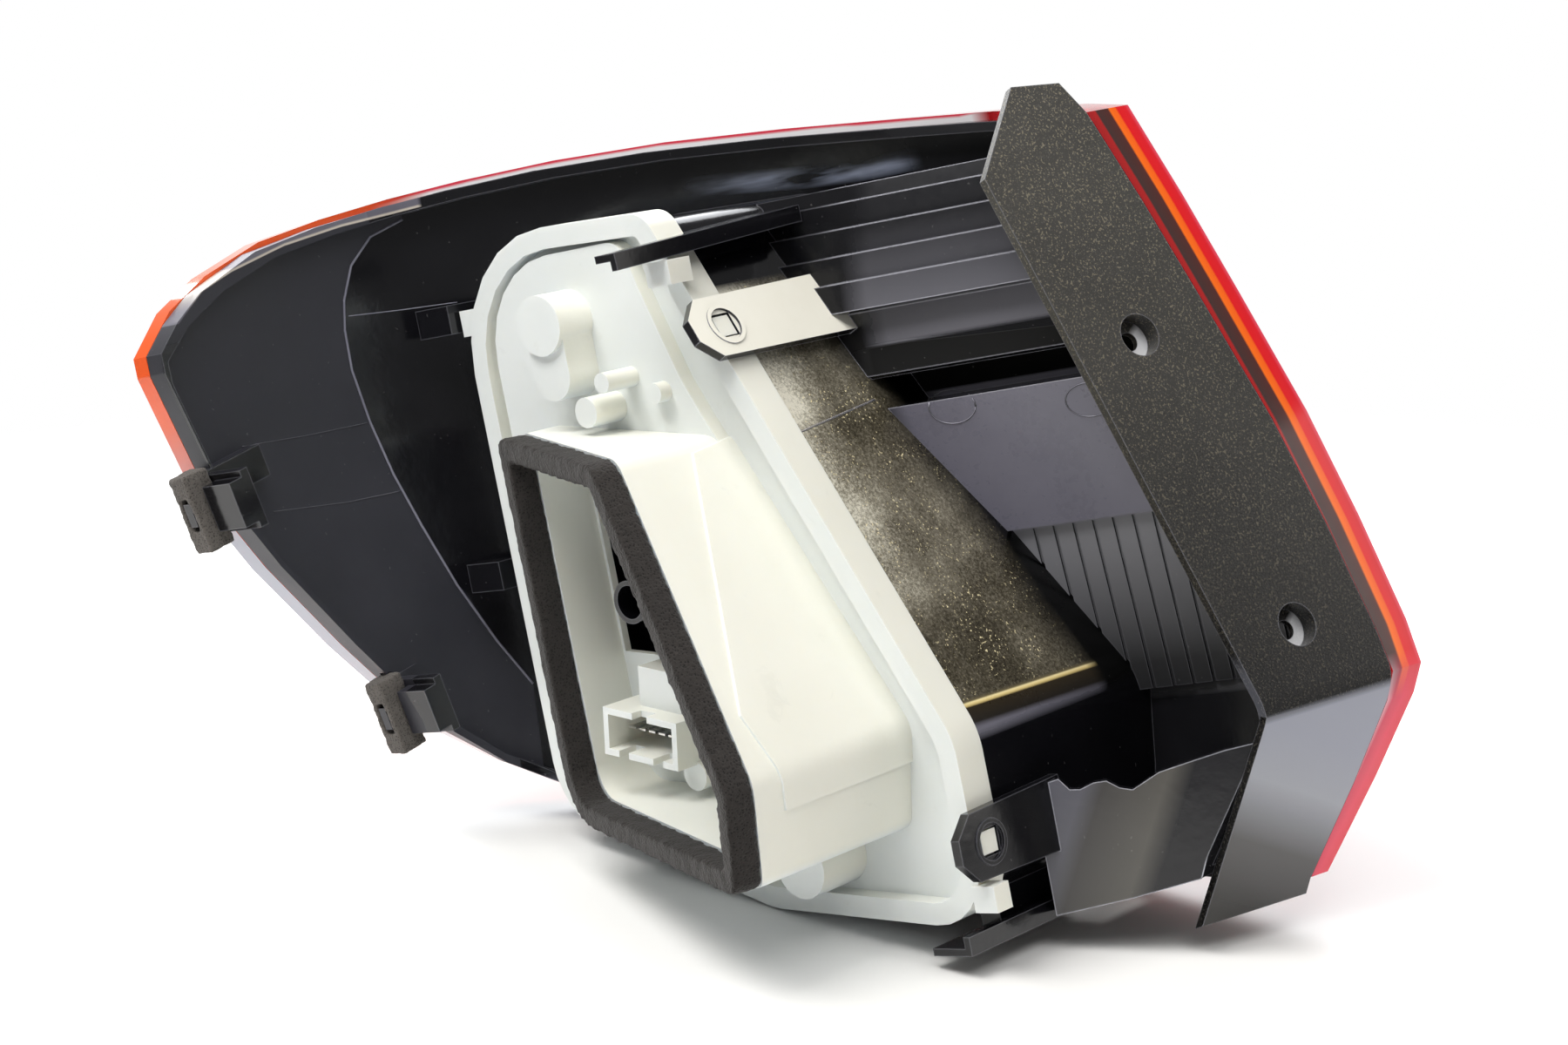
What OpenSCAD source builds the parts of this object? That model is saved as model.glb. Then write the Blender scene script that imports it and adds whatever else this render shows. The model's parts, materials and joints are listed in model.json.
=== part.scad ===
// Wrap-around tail lamp for the right rear corner of a car, seen with its body side open to view.
// Millimetres. +X runs from the car flank toward the tailgate, +Y runs rearward out of the
// lens, +Z is up. The origin is the middle of the upper screw hole, on the face of the side panel.

/* [Side panel] */
// Diameter of the recess that takes a screw head
screw_head_d = 12.5; // [9:0.5:15]
// Diameter of the hole a screw passes through
screw_hole_d = 5.6; // [4:0.1:7]
// Depth of the recess below the panel face
screw_head_depth = 6; // [4:0.5:7]
// Thickness of the side panel
panel_t = 3; // [2:0.5:4]
// Distance along the panel between the two screw holes
screw_pitch = 92; // [80:1:100]

/* [Lens] */
// Thickness of the moulded lens
lens_t = 3; // [2:0.25:4]
// Depth of the lens side walls at the tailgate end
lens_depth = 14; // [10:0.5:16]
// Depth of the lens side walls at the wing tip
wing_depth = 6.5; // [5:0.5:9]
// Clearance between parts that are welded or clipped together
fit_gap = 0.3; // [0.2:0.1:0.5]
// Height of lens rim left in sight above the shell
rim_show = 2.6; // [1:0.2:3]

/* [Housing] */
// Wall thickness of the housing moulding
wall = 2.5; // [2:0.25:3]
// Width of the two clip arms
clip_w = 19; // [14:1:22]
// Inside diameter of the central fixing tube
tube_bore = 10; // [6:0.5:11]
// Outside diameter of the central fixing tube
tube_d = 13; // [12:0.5:15]

/* [Bulb carrier] */
// Thickness of the carrier walls
carrier_wall = 2.5; // [2:0.25:3]
// Width of the foam frame between lamp and body
gasket_w = 7; // [6:0.5:8]
// Height of the foam frame before it is squeezed
gasket_h = 8.5; // [6:0.5:12]
// Width of the connector mouth
plug_w = 26; // [22:1:28]
// Height of the connector mouth
plug_h = 10.5; // [9:0.5:11.5]

/* [Hidden] */
$fn = 24;

// Side panel slant, in plan and in height, and the turn of its lower leg
slant_plan = 16;
slant_up = 17;
leg_turn = 40;
leg_y = -112;
leg_r = 14;
// Planes of the carrier, seen along the length of the car
flange_y = -70.5;
flange_t = 2.5;
rim_lift = 5.7;
rim_w = 6.4;
plateau_y = -75.5;
skirt_y = -65;
seal_t = 2;
rim_y = flange_y + flange_t + seal_t;
// Turn of the foam frame about the upright, and where its plane crosses the plane X = 0
land_turn = 22.3;
land_y = -155.1;

panel_across = [sin(slant_plan), cos(slant_plan), 0];
panel_up = [-sin(slant_up) * cos(slant_plan), sin(slant_up) * sin(slant_plan), cos(slant_up)];
panel_out = [cos(slant_up) * cos(slant_plan), -cos(slant_up) * sin(slant_plan), sin(slant_up)];

// Rounded and inset outlines, worked out point by point so that every face stays flat
function unit(v) = v / norm(v);
function corner(a, p, b, r, n) =
  let (ua = unit(a - p), ub = unit(b - p), half = acos(ua * ub) / 2, d = r / tan(half),
    c = p + unit(ua + ub) * (r / sin(half)), s = p + ua * d, e = p + ub * d,
    a0 = atan2(s.y - c.y, s.x - c.x), a1 = atan2(e.y - c.y, e.x - c.x),
    turn = ((a1 - a0 + 540) % 360) - 180)
  [for (k = [0:n]) c + r * [cos(a0 + turn * k / n), sin(a0 + turn * k / n)]];
function rounded(pts, radii, cut = 0, n = 6) =
  let (m = len(pts))
  [for (i = [0:m - 1]) each (radii[i] - cut > 0.4
    ? corner(pts[(i + m - 1) % m], pts[i], pts[(i + 1) % m], radii[i] - cut, n)
    : [pts[i]])];
function left_of(a, b) = let (d = unit(b - a)) [-d.y, d.x];
function inset(pts, d) =
  let (m = len(pts))
  [for (i = [0:m - 1]) let (n0 = left_of(pts[(i + m - 1) % m], pts[i]),
    n1 = left_of(pts[i], pts[(i + 1) % m])) pts[i] + (n0 + n1) * d / (1 + n0 * n1)];

// Outline of the carrier flange and of the raised body, counter-clockwise in X and Z
flange_pts = [[-193.5, 64], [-193.5, -116], [-110, -145], [-29, -151], [-29.5, -97], [-109, 60.5]];
flange_rad = [40, 24, 30, 18, 24, 9];
body_pts = [[-165.5, 4.2], [-165.5, -112.8], [-56, -123.7], [-49.5, -94], [-97.5, -5.8]];
body_rad = [4, 17, 5, 10, 9];
plateau_pts = [[-183, 54], [-183, -106], [-165.5, -112.8], [-56, -123.7], [-49.5, -94], [-101.5, 1],
  [-107, 12], [-117, 40], [-121, 54]];
plateau_rad = [30, 9, 9, 5, 10, 6, 6, 6, 8];
function flange_line(d) = rounded(inset(flange_pts, d), flange_rad, d);
function body_line(d) = rounded(inset(body_pts, d), body_rad, d);
function plateau_line(d) = rounded(inset(plateau_pts, d), plateau_rad, d);
// The same body outline, stretched to lie in the turned plane of the foam frame
land_pts = [for (p = body_pts) [p.x / cos(land_turn), p.y]];
function land_line(d) = rounded(inset(land_pts, d), body_rad, d);

// Plan curve of the lens, from the tailgate corner round to the wing tip
plan = [[-12, 30], [-40, 28.5], [-74, 24], [-108, 15], [-142, 2], [-175, -15], [-206, -37.5],
  [-227, -63], [-238, -92], [-242.5, -125], [-243.5, -160], [-243.5, -174]];
last_k = 10.1;
top_z = [[0, 64.3], [0.6, 67.6], [1.8, 72.1], [2.9, 76.2], [3.9, 80.1], [4.9, 82.5], [5.8, 83.1],
  [6.6, 82.1], [7.5, 80.3], [8.5, 76.4], [9, 72.3], [9.48, 64.5], [9.87, 54.7], [10.1, 47]];
low_z = [[0, -161.4], [2, -153], [4, -139], [5.5, -125], [6.69, -108.5], [7.25, -98], [7.86, -85],
  [8.42, -63.5], [8.82, -45.5], [9.23, -25.8], [9.61, -5.3], [9.81, 12], [9.9, 27], [10.1, 41]];
// Tailgate corner of the lens, in the panel plane: height, then distance rearward
corner_w = [[-157.2, 24.4], [-136.4, 39.1], [-118, 50.2], [-111, 52.4], [-98, 53], [-65.5, 50.6],
  [-32.4, 46.6], [7.2, 38.9], [38, 32.6], [67.2, 25.7]];

function panel_z(y) = y > leg_y ? 0 : (y - leg_y) * tan(leg_turn);
function panel_pt(w, y, z) = w * panel_across + y * panel_up + z * panel_out;
function edge_pt(y) = panel_pt(lookup(y, corner_w), y, panel_z(y));
edge_low = edge_pt(-157.2);
edge_top = edge_pt(67.2);
function edge_fr(y) = (edge_pt(y).z - edge_low.z) / (edge_top.z - edge_low.z);
lean_x = [for (c = corner_w) [edge_fr(c[0]), edge_pt(c[0]).x - edge_top.x]];
lean_y = [for (c = corner_w) [edge_fr(c[0]), edge_pt(c[0]).y - edge_top.y]];

function spline(k) =
  let (m = len(plan), i = max(0, min(floor(k), m - 2)), t = k - i, p1 = plan[i], p2 = plan[i + 1],
    p0 = i > 0 ? plan[i - 1] : 2 * p1 - p2, p3 = i < m - 2 ? plan[i + 2] : 2 * p2 - p1)
  0.5 * (2 * p1 + (p2 - p0) * t + (2 * p0 - 5 * p1 + 4 * p2 - p3) * t * t
    + (3 * p1 - p0 - 3 * p2 + p3) * t * t * t);
function inward(k) =
  let (d = unit(spline(k + 0.05) - spline(max(k - 0.05, 0))), n = [-d.y, d.x],
    b = max(0, 1 - k / 0.8), c = -[panel_across.x, panel_across.y])
  unit(n * (1 - b) + c * b);
function edge_depth(f) =
  lookup(f, [[0, lens_depth - 7.5], [0.28, lens_depth - 2.5], [1, lens_depth + 1]]);
function depth(k, f) = let (b = max(0, 1 - k / 1.5))
  lookup(k, [[0, lens_depth], [5, lens_depth - 2], [8, wing_depth + 1.5], [last_k, wing_depth]]) * (1 - b)
    + edge_depth(f) * b;
// Point of the lamp surface: k along the sweep, f up it, o inward offset [fixed, share of depth],
// e edge allowances [tailgate end, wing tip, lower edge, upper edge]
function skin(kk, f, o, e) =
  let (lz = lookup(kk, low_z), tz = lookup(kk, top_z), z = lz + e[2] + (tz - e[3] - lz - e[2]) * f,
    g = max(0, min(1, (z - lz) / (tz - lz))), w = pow(max(0, 1 - kk / 6.4), 1.15), n = inward(kk),
    bulge = 3.5 * sin(180 * g) * min(1, kk / 1.5) * min(1, (last_k - kk) / 2),
    q = spline(kk) + w * [lookup(g, lean_x), lookup(g, lean_y)]
      + n * (o[0] + o[1] * depth(kk, g) - bulge))
  [q.x, q.y, z];

sweep = [0, 0.5, 1.3, 2.3, 3.4, 4.5, 5.5, 6.4, 7.2, 8, 8.7, 9.3, 9.7, last_k];
rise = concat([for (c = corner_w) edge_fr(c[0])]);

// Columns of a layer: the shared ones between its own two ends
function columns(e, ks) = e[0] == 0 && e[1] == 0 ? ks :
  concat([e[0] / 28], [for (k = ks) if (k > e[0] / 28 + 0.03 && k < last_k - e[1] / 34 - 0.03) k],
    [last_k - e[1] / 34]);
// Closed layer between two offsets of the lamp surface
module layer(o1, o2, e = [0, 0, 0, 0], at = sweep, fs = rise) {
  ks = columns(e, at);
  n = len(ks);
  m = len(fs);
  front = [for (k = ks) for (f = fs) skin(k, f, o1, e)];
  back = [for (k = ks) for (f = fs) skin(k, f, o2, e)];
  h = n * m;
  polyhedron(points = concat(front, back), faces = concat(
    [for (i = [0:n - 2]) for (j = [0:m - 2]) let (a = i * m + j)
      each [[a, a + 1, a + m + 1], [a, a + m + 1, a + m]]],
    [for (i = [0:n - 2]) for (j = [0:m - 2]) let (a = h + i * m + j)
      each [[a, a + m + 1, a + 1], [a, a + m, a + m + 1]]],
    [for (i = [0:n - 2]) let (a = i * m)
      each [[a, a + m, a + h + m], [a, a + h + m, a + h]]],
    [for (i = [0:n - 2]) let (a = i * m + m - 1)
      each [[a, a + h + m, a + m], [a, a + h, a + h + m]]],
    [for (j = [0:m - 2]) let (a = j)
      each [[a, a + h + 1, a + 1], [a, a + h, a + h + 1]]],
    [for (j = [0:m - 2]) let (a = (n - 1) * m + j)
      each [[a, a + 1, a + h + 1], [a, a + h + 1, a + h]]]), convexity = 8);
}

// Outline drawn in X and Z, pushed along the car from y0 to y1
module along(y0, y1, pts) {
  translate([0, y1, 0]) rotate([90, 0, 0]) linear_extrude(y1 - y0) polygon(pts);
}
module ring(y0, y1, outer, inner) {
  difference() {
    along(y0, y1, outer);
    along(y0 - 1, y1 + 1, inner);
  }
}
module rod(x, z, y0, y1, d) {
  translate([x, y1, z]) rotate([90, 0, 0]) cylinder(h = y1 - y0, d = d);
}
module panel_frame() {
  rotate([0, 0, -slant_plan]) rotate([0, -slant_up, 0]) rotate([90, 0, 90]) children();
}
// Everything that lies further out than the back of the lens
module lens_space() {
  layer([-60, 0], [fit_gap + 0.6, 1], [-20, -8, 0, 0], sweep, concat([-0.12], rise, [1.12]));
}

// Bent strip of the panel between two depths below its face, seen end on
function bend_arc(z, n = 8) = [for (i = [0:n])
  let (t = 90 + leg_turn * i / n) [leg_y + leg_r * tan(leg_turn / 2), -leg_r]
    + (leg_r + z) * [cos(t), sin(t)]];
function bend_end(z) = let (p = bend_arc(z)[8]) p - 60 * [cos(leg_turn), sin(leg_turn)];
module bent(z0, z1, pts) {
  intersection() {
    rotate([90, 0, 90]) translate([0, 0, -60]) linear_extrude(140)
      polygon(concat([[95, z1]], bend_arc(z1), [bend_end(z1), bend_end(z0)],
        [for (i = [8:-1:0]) bend_arc(z0)[i]], [[95, z0]]));
    translate([0, 0, -70]) linear_extrude(90) polygon(pts);
  }
}
hole_low = [15.5, -sqrt(screw_pitch * screw_pitch - 15.5 * 15.5)];
function panel_edge(back) =
  [for (c = corner_w) [c[1] - edge_depth(edge_fr(c[0])) - fit_gap - back, c[0]]];
panel_pts = concat([[-31.3, 53.3], [-5, leg_y - 1], [-21.8, -160.2], [16.5, -161]],
  panel_edge(0), [[4.9, 77.3], [-11.6, 78.5]]);
module screw_sites() {
  children();
  translate([hole_low.x, hole_low.y, 0]) children();
}

// Space that the panel takes up in its neighbours
module panel_space() {
  panel_frame() bent(-panel_t, 4, concat([[-40, 60], [-8, leg_y], [-30, -170], [17, -170]],
    panel_edge(-fit_gap), [[5.5, 85], [-40, 85]]));
}

module side_trim_panel() {
  color("#26262a")
  panel_frame() difference() {
    union() {
      bent(-panel_t, 0, panel_pts);
      screw_sites() translate([0, 0, -screw_head_depth - 2])
        cylinder(h = screw_head_depth + 1.5, d = screw_head_d + 4);
    }
    screw_sites() translate([0, 0, -screw_head_depth]) cylinder(h = screw_head_depth + 1, d = screw_head_d);
    screw_sites() translate([0, 0, -20]) cylinder(h = 30, d = screw_hole_d);
  }
}

// Housing moulding
arm_slope = 26.8;
function flank_x(z) = -84.1 + (10 - z) * tan(arm_slope);
module clip_arm(len_front, len_back, thick = 3) {
  difference() {
    union() {
      rotate([90, 0, 90]) linear_extrude(thick)
        polygon([[-len_front + 6, -clip_w / 2], [len_back, -clip_w / 2 - 1],
          [len_back, clip_w / 2 + 1], [-len_front + 6, clip_w / 2],
          [-len_front, clip_w / 2 - 6], [-len_front, -clip_w / 2 + 6]]);
      translate([0, -len_front + 13, 0]) rotate([0, 90, 0]) cylinder(h = thick + 0.4, d = 13);
    }
    translate([-2, -len_front + 9.2, -3.8]) cube([8, 7.6, 7.6]);
    translate([thick - 0.5, -len_front + 13, 0]) rotate([0, 90, 0]) cylinder(h = 2, d = 10.4);
  }
}
// Where the two arms stand: on the slanted flank of the chamber and below it
module upper_arm_place() {
  translate([flank_x(23.5) + 1, 0, 23.5]) rotate([0, -arm_slope, 0]) children();
}
module lower_arm_place() {
  translate([-28.6, 0, -126.5]) children();
}
// Guide rail: a shelf with a lip, from y0 to y1
module rail(y0, y1, w, lip, up) {
  translate([-w, y0, 0]) cube([w, y1 - y0, 2.2]);
  translate([-2.2, y0, up ? 0 : 2.2 - lip]) cube([2.2, y1 - y0, lip]);
}
module chamber() {
  difference() {
    union() {
      along(rim_y, 40, flange_line(3.2));
      upper_arm_place() clip_arm(86, 12);
      upper_arm_place() translate([-5, -32, -clip_w / 2 + 2]) cube([5.5, 52, clip_w - 4]);
      lower_arm_place() clip_arm(86, -40);
      lower_arm_place() translate([-6, -60, -clip_w / 2 + 3]) cube([6.5, 16, clip_w - 6]);
      // Guide rails over and under the carrier
      translate([-95.2, -82, 49.3]) rotate([3, 0, 0]) {
        rail(-21, 57, 8, 5, false);
        translate([-14, 20, -2]) cube([8, 36, 4.2]);
      }
      translate([-34, 0, -157.2]) rail(-80, -26, 14, 5.5, true);
      translate([-46, -60, -156]) cube([7, 36, 13]);
      // Seam band across the flank
      translate([flank_x(-11), 0, -11]) rotate([0, -arm_slope, 0])
        translate([-6, rim_y + 1, -1]) cube([3, 60, 22]);
    }
    lens_space();
    along(-90, 60, flange_line(3.2 + wall));
  }
}
pocket_face = [[57, 1], [52.5, 2], [52.5, 5], [45, 5], [45, 8], [37.3, 8], [37.3, 11], [29.5, 11],
  [29.5, 13.5], [21, 14], [20, 8], [1, 8], [0, 7], [0, -9], [-9, -9], [-9, 9], [-51, -2], [-51, -4],
  [-104, -12]];
pocket_back = [[-104, -14.6], [-54, -6.8], [-12, 5.5], [-12, -11.6], [3, -11.6], [3, 5],
  [23, 5], [24, 10.5], [26.5, 10.5], [26.5, 8], [34.3, 8], [34.3, 5], [42, 5], [42, 2.2],
  [49.5, 2.2], [49.5, -0.8], [57, -1.6]];
pocket_turn = 17.1;
// Lower tray, drawn along its own front sheet: wavy upper edge, then the sloping floor line
tray_turn = 34;
tray_floor = [[-3.9, -155.1], [18, -153.5], [41.8, -150.5], [65.4, -143.5]];
tray_edge = [[77.5, -114.3], [61.5, -115.3], [50.4, -116.2], [40.4, -117.8], [31.6, -119.3],
  [26.8, -121.5], [23.5, -123], [20.1, -121.9], [16.8, -119.4], [13.2, -119.3],
  [9.2, -120.6], [6.3, -120.2], [3.7, -116.7], [0.7, -117.2], [-3.9, -118.7]];
module tray_frame() {
  translate([-27, -44, 0]) rotate([0, 0, tray_turn]) children();
}
module pocket_frame() {
  translate([-112, -24.5, 0]) rotate([0, 0, pocket_turn]) children();
}
module pocket() {
  difference() {
    union() {
      // Back wall with its steps, slot and sloping plate
      pocket_frame() rotate([90, 0, 90]) linear_extrude(150)
        polygon([for (p = concat(pocket_face, pocket_back)) [-p[1], p[0]]]);
      // Lower tray that closes the pocket: a front sheet and a floor
      tray_frame() along(-1.5, 1, concat(tray_floor, tray_edge));
      tray_frame() along(-1, 78, concat(tray_floor,
        [for (i = [3:-1:0]) tray_floor[i] + [0, wall]]));
    }
    lens_space();
    along(-100, 60, [[-300, 90], [-300, -200], [-33.5, -200], [-33.5, -98], [-129, 90]]);
    panel_frame() translate([-200, -300, -panel_t]) cube([400, 600, 200]);
    panel_frame() translate([0, leg_y, -panel_t]) rotate([leg_turn, 0, 0])
      translate([-200, -300, 0]) cube([400, 300, 200]);
    // Upright grooves of the lower wall
    pocket_frame() for (i = [0:13])
      translate([66 + 6.2 * i, 4, -51]) rotate([8.6, 0, 0]) translate([0, -3, -60]) cube([1, 4, 59.5]);
  }
}
// Foam pads at the wing edge: Y, Z and lean
pad_x = -228.5;
pads = [[-160.5, 0.5, 12], [-105.5, -74, 12]];
module pad_place(i) {
  translate([pad_x, pads[i][0], pads[i][1]]) rotate([pads[i][2], 0, 0]) children();
}
module pad_bracket(i) {
  pad_place(i) {
    translate([-7, 2, -9]) cube([29, 3, 18]);
    translate([-7, 2, -1]) cube([7, 26, 10]);
    translate([2.5, -7, -3.6]) cube([3, 10, 7.2]);
    translate([9, -3, -7]) cube([13, 6, 14]);
  }
}
// Fixing tube, held to the chamber walls by two ribs
module tube() {
  rod(-135, -50, -86, -47, tube_d);
  translate([-189, -64, -51.2]) cube([49, 17, 2.4]);
  translate([-136.2, -64, -139]) cube([2.4, 17, 84]);
}
module housing() {
  color("#1b1b20")
  difference() {
    union() {
      // Shell behind the lens, with a deeper rim all round
      difference() {
        layer([fit_gap, 1], [8, 1], [4.2, 0, 0, 0]);
        layer([wall, 1], [10, 1], [7.5, 3, 3, 3 + rim_show]);
        // The rim of the lens stays in sight above the shell
        layer([-3, 1], [12, 1], [0, 0, 0, 0], [for (k = sweep) 1.017 * k + 0.06],
          [1 - rim_show / 230, 1.1]);
        along(-90, 60, flange_line(3.2 + wall));
        for (i = [0, 1]) pad_place(i) translate([-fit_gap, -8, -12.3]) cube([8.6, 10, 24.6]);
      }
      chamber();
      pocket();
      // Flange under the side panel
      difference() {
        union() {
          panel_frame() bent(-panel_t - wall, -panel_t, concat([for (c = panel_edge(12)) c],
            [for (i = [len(corner_w) - 1:-1:0]) panel_edge(0)[i]]));
          for (i = [0, 1]) pad_bracket(i);
        }
        lens_space();
      }
      tube();
      // Hooks beside the carrier
      for (z = [36, -44]) {
        translate([-213, -78, z]) cube([15, 7, 9]);
        translate([-201, -78, z]) cube([3, 30, 9]);
        translate([-201, -64, z]) cube([12, 8, 9]);
      }
    }
    rod(-135, -50, -90, -50, tube_bore);
    panel_frame() screw_sites() translate([0, 0, -12]) cylinder(h = 14, d = screw_head_d + 5);
    panel_space();
  }
}

window_k = [3.5, 4.1, 4.7, 5.3];
window_f = [0.3, 0.4, 0.5];
module outer_lens() {
  color("#c21420")
  difference() {
    layer([0, 0], [0, 1]);
    layer([lens_t, 0], [1, 1], [lens_t, lens_t, lens_t, lens_t]);
    layer([-6, 0], [lens_t + 2, 0], [0, 0, 0, 0], window_k, window_f);
    panel_space();
  }
}
module clear_window() {
  color("#e8ecef")
  layer([0.1, 0], [lens_t - 0.2, 0], [0, 0, 0, 0],
    [window_k[0] + 0.009, window_k[1], window_k[2], window_k[3] - 0.009],
    [window_f[0] + 0.0014, window_f[1], window_f[2] - 0.0014]);
}

// Lamps: turn, tail and stop, reverse, fog
bulb_sites = [[-147, 34], [-100, -42], [-80, -82], [-84, -129.5]];
bulb_y = -86;
cap_d = 12;
cap_l = 21;
strip_t = 0.6;
module inner_bezel() {
  color("#3a3a40")
  difference() {
    layer([0, 0.45], [-1.2, 1], [9, 98, 8, 8]);
    layer([2, 0.45], [2, 1], [11, 100, 10, 10]);
    for (s = bulb_sites) rod(s.x, s.y, -80, 80, 38);
  }
}
module reflector() {
  color("#d8dade")
  difference() {
    intersection() {
      union() {
        along(-44, -42, flange_line(3.2 + wall + fit_gap));
        for (s = bulb_sites) translate([s.x, -42, s.y]) rotate([90, 0, 0])
          cylinder(h = 15, r1 = 17.2, r2 = 10.3);
      }
      along(-60, -40, flange_line(3.2 + wall + fit_gap));
    }
    for (s = bulb_sites) translate([s.x, -41.9, s.y]) rotate([90, 0, 0])
      cylinder(h = 15.2, r1 = 16, r2 = 9);
  }
}
module bulb_cap(s) {
  color("#c9b37a") {
    rod(s.x, s.y, bulb_y + strip_t, bulb_y + cap_l, cap_d);
    for (a = [45, 225]) translate([s.x, bulb_y + cap_l - 2, s.y]) rotate([0, a, 0])
      cylinder(h = cap_d / 2 + 1, d = 1.6);
  }
}
module bulb_glass(s) {
  color("#dfe9f0") {
    rod(s.x, s.y, bulb_y + cap_l, bulb_y + cap_l + 9, 10.6);
    translate([s.x, bulb_y + cap_l + 18, s.y]) sphere(d = 22, $fn = 18);
  }
}

// Holder notches: bulb number, then the direction of the notch
notches = [[0, 270], [1, 270], [1, 0], [2, 180], [3, 90]];
module notch_place(i) {
  s = bulb_sites[notches[i][0]];
  translate([s.x, 0, s.y]) rotate([0, -notches[i][1], 0]) children();
}
plug_at = [-135.5, -89.5];
plug_tilt = 12;
plug_y = -92;
module plug_frame() {
  translate([plug_at.x, 0, plug_at.y]) rotate([0, plug_tilt, 0]) children();
}
function pin_at(i) = plug_at + (i - 2.5) * 4 * [cos(plug_tilt), -sin(plug_tilt)];
// Half space in front of (-1) or behind (1) a plane laid along the foam frame
module land_side(way, lift) {
  translate([0, land_y, 0]) rotate([0, 0, -land_turn])
    translate([-500, lift + (way < 0 ? -300 : 0), -300]) cube([700, 300, 600]);
}
posts = [[-174, -40], [-174, 8], [-66, -60], [-112, -101.5]];
module bulb_carrier() {
  color("#dfe2dc")
  difference() {
    union() {
      along(flange_y, flange_y + flange_t, flange_line(0));
      ring(flange_y - rim_lift, flange_y + 1, flange_line(0), flange_line(rim_w));
      ring(flange_y, skirt_y, flange_line(0), flange_line(carrier_wall));
      along(plateau_y, flange_y + 1, plateau_line(0));
      // Raised body, cut off along the turned foam frame
      difference() {
        ring(-150, flange_y + 1, body_line(0), body_line(gasket_w));
        land_side(-1, 0);
      }
      // Raised field on the broad flank of the body
      intersection() {
        ring(-135, flange_y, body_line(-0.8), body_line(0.3));
        translate([-110, 0, 0]) rotate([90, 0, 90]) linear_extrude(70)
          polygon([[flange_y, -7], [-88, -9], [-126, -77], [-123, -104], [flange_y, -104]]);
      }
      // Bulb holders
      for (s = bulb_sites) rod(s.x, s.y, bulb_y - 3, flange_y + 1, cap_d + 6);
      rod(bulb_sites[0].x, bulb_sites[0].y - 15, bulb_y - 1.5, flange_y + 1, cap_d + 3);
      translate([bulb_sites[0].x - 7.5, bulb_y - 1.5, bulb_sites[0].y - 15]) cube([15, 12, 15]);
      // Connector socket
      plug_frame() translate([-plug_w / 2 - 2, plug_y, -plug_h / 2 - 2])
        cube([plug_w + 4, flange_y - plug_y + 1, plug_h + 4]);
      plug_frame() translate([-7, flange_y - 14, plug_h / 2 + 1]) cube([17, 15, 13]);
      rod(-124, -103, -84, flange_y + 1, 9);
      // Small bosses, stops and catches
      rod(-135.3, 6.8, -88, plateau_y + 1, 9);
      rod(-126.4, 14.6, -88, plateau_y + 1, 6);
      rod(-114.3, 8.9, -80, plateau_y + 1, 6);
      translate([-104, -84, 38.8]) cube([9.5, 9, 7]);
      translate([-32, -77.5, -145.5]) cube([8, 6.5, 7.5]);
      translate([-196.8, flange_y - 4, 34.5]) cube([8, 5, 8]);
      upper_arm_place() translate([-5, -76.2, -3.2]) cube([7.2, 6.4, 6.4]);
      lower_arm_place() translate([-5, -76.2, -3.2]) cube([7.2, 6.4, 6.4]);
      // Posts that carry the ground strip
      for (p = posts) rod(p.x, p.y, flange_y + 1, strip_y + 1.8, 3.4);
    }
    for (s = bulb_sites) rod(s.x, s.y, bulb_y, flange_y + 8, cap_d + 0.6);
    for (i = [0:4]) notch_place(i) translate([4, bulb_y, -1.6]) cube([3.8, 22, 3.2]);
    // Window in the floor of the well for the fixing tube
    along(-72, flange_y + flange_t + 1, [[-157.5, -11], [-157.5, -67], [-120, -72], [-115, -24]]);
    // Hollows behind the plateau
    along(plateau_y + 2.5, flange_y + 4, [[-134, 3], [-113.5, 3], [-123, 46], [-134, 47]]);
    along(plateau_y + 2.5, flange_y + 4, [[-180.5, -1], [-180.5, -100], [-177, -100], [-177, -1]]);
    // Well of the body
    difference() {
      along(-150, flange_y, body_line(gasket_w));
      for (s = bulb_sites) rod(s.x, s.y, bulb_y - 3, flange_y + 1, cap_d + 6);
      plug_frame() translate([-plug_w / 2 - 2, plug_y, -plug_h / 2 - 2])
        cube([plug_w + 4, flange_y - plug_y + 1, plug_h + 4]);
      plug_frame() translate([-7, flange_y - 14, plug_h / 2 + 1]) cube([17, 15, 13]);
      rod(-124, -103, -84, flange_y + 1, 9);
    }
    plug_frame() translate([-plug_w / 2, plug_y - 1, -plug_h / 2])
      cube([plug_w, flange_y - plug_y + 1, plug_h]);
    // Coding notches in the mouth of the socket
    plug_frame() for (x = [-9, 5]) translate([x, plug_y - 1, -plug_h / 2 - 3]) cube([4, 8, 4]);
    plug_frame() translate([-3, plug_y - 1, plug_h / 2 - 1]) cube([6, 5, 4]);
    for (i = [0:5]) let (p = pin_at(i)) translate([p.x, 0, p.y]) rotate([0, plug_tilt, 0])
      translate([-1.5, flange_y - 1, -0.5]) cube([3, 6, 1]);
  }
}
module carrier_seal() {
  color("#2c2c2e")
  ring(flange_y + flange_t, rim_y, flange_line(2.9), flange_line(6.2));
}
module body_gasket() {
  color("#2b2422")
  translate([0, land_y, 0]) rotate([0, 0, -land_turn])
    ring(-gasket_h, 0, land_line(0), land_line(gasket_w));
}
module foam_pad(i) {
  color("#5a524c")
  pad_place(i) difference() {
    translate([0, -7.5, -12]) cube([8, 9.5, 24]);
    translate([2.2, -8.5, -5]) cube([3.6, 13, 10]);
  }
}

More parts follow.
